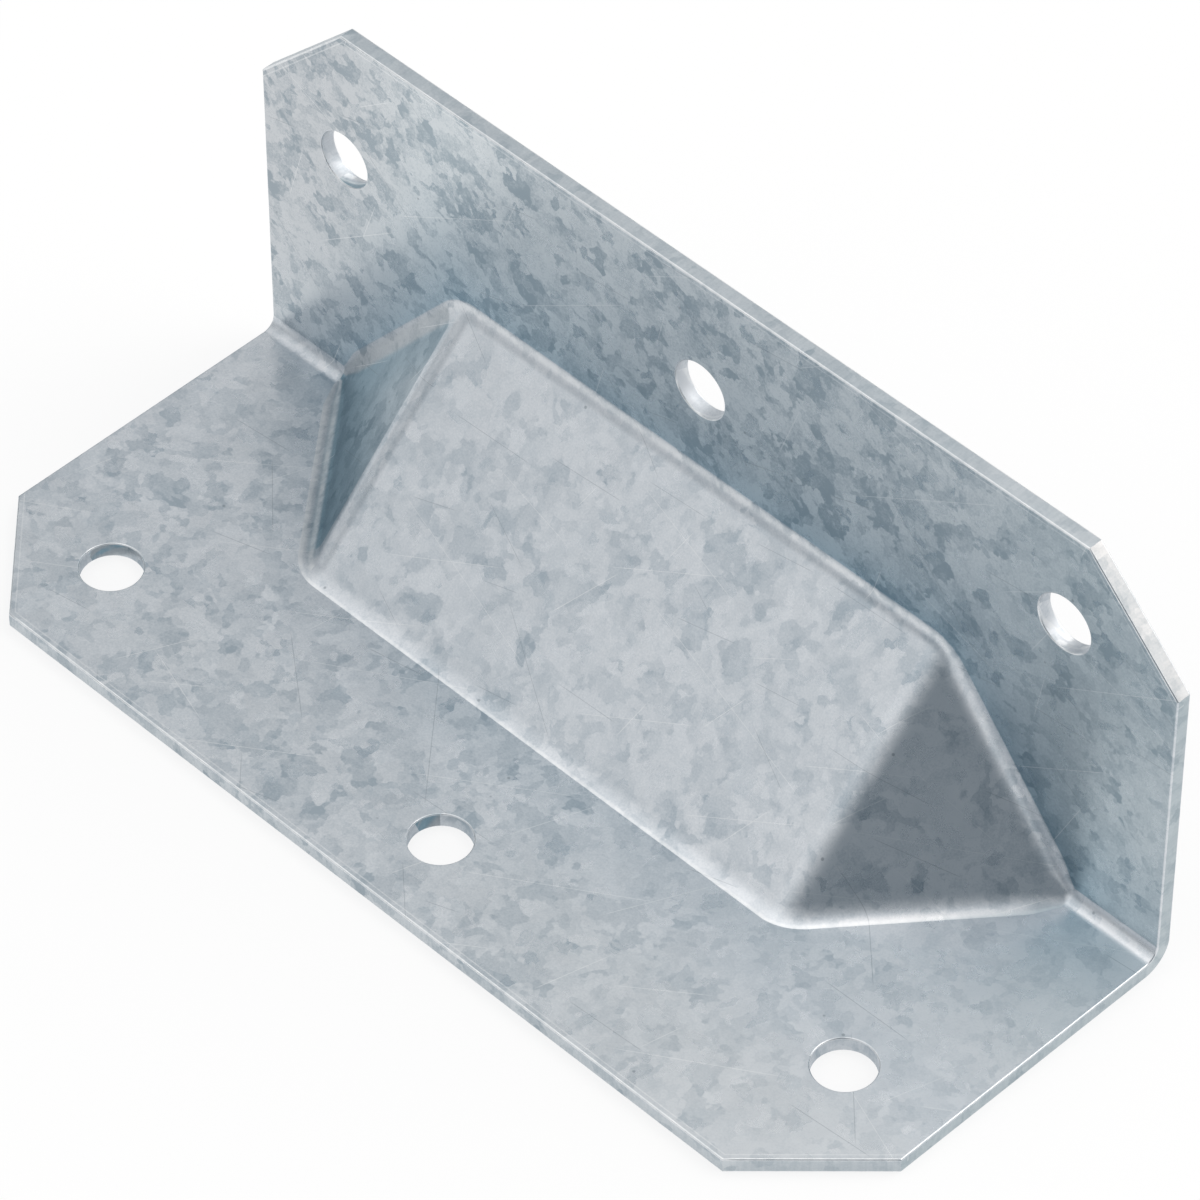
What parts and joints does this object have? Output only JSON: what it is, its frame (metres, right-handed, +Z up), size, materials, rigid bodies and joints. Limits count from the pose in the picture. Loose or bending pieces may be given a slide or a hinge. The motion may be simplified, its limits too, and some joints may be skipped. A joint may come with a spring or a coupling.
{
  "type": "stamped metal bracket",
  "caption": "Folded steel angle bracket with a pressed gusset stiffening its inside corner and screw holes in both flanges, joining two panels at a right angle.",
  "frame": {"origin": "centre of the bounding box in plan, at the underside of the lying flange", "axes": "+X along the fold, lying flange towards -Y, standing flange at +Y, +Z up; the gusset and the screw heads' side face -Y and +Z"},
  "size_m": [0.0826, 0.0328, 0.0328],
  "materials": {
    "galvanised_steel": "hot-dip galvanised with a small spangle, half dull"
  },
  "bodies": {
    "root": {"bracket": "galvanised_steel"}
  },
  "joints": []
}
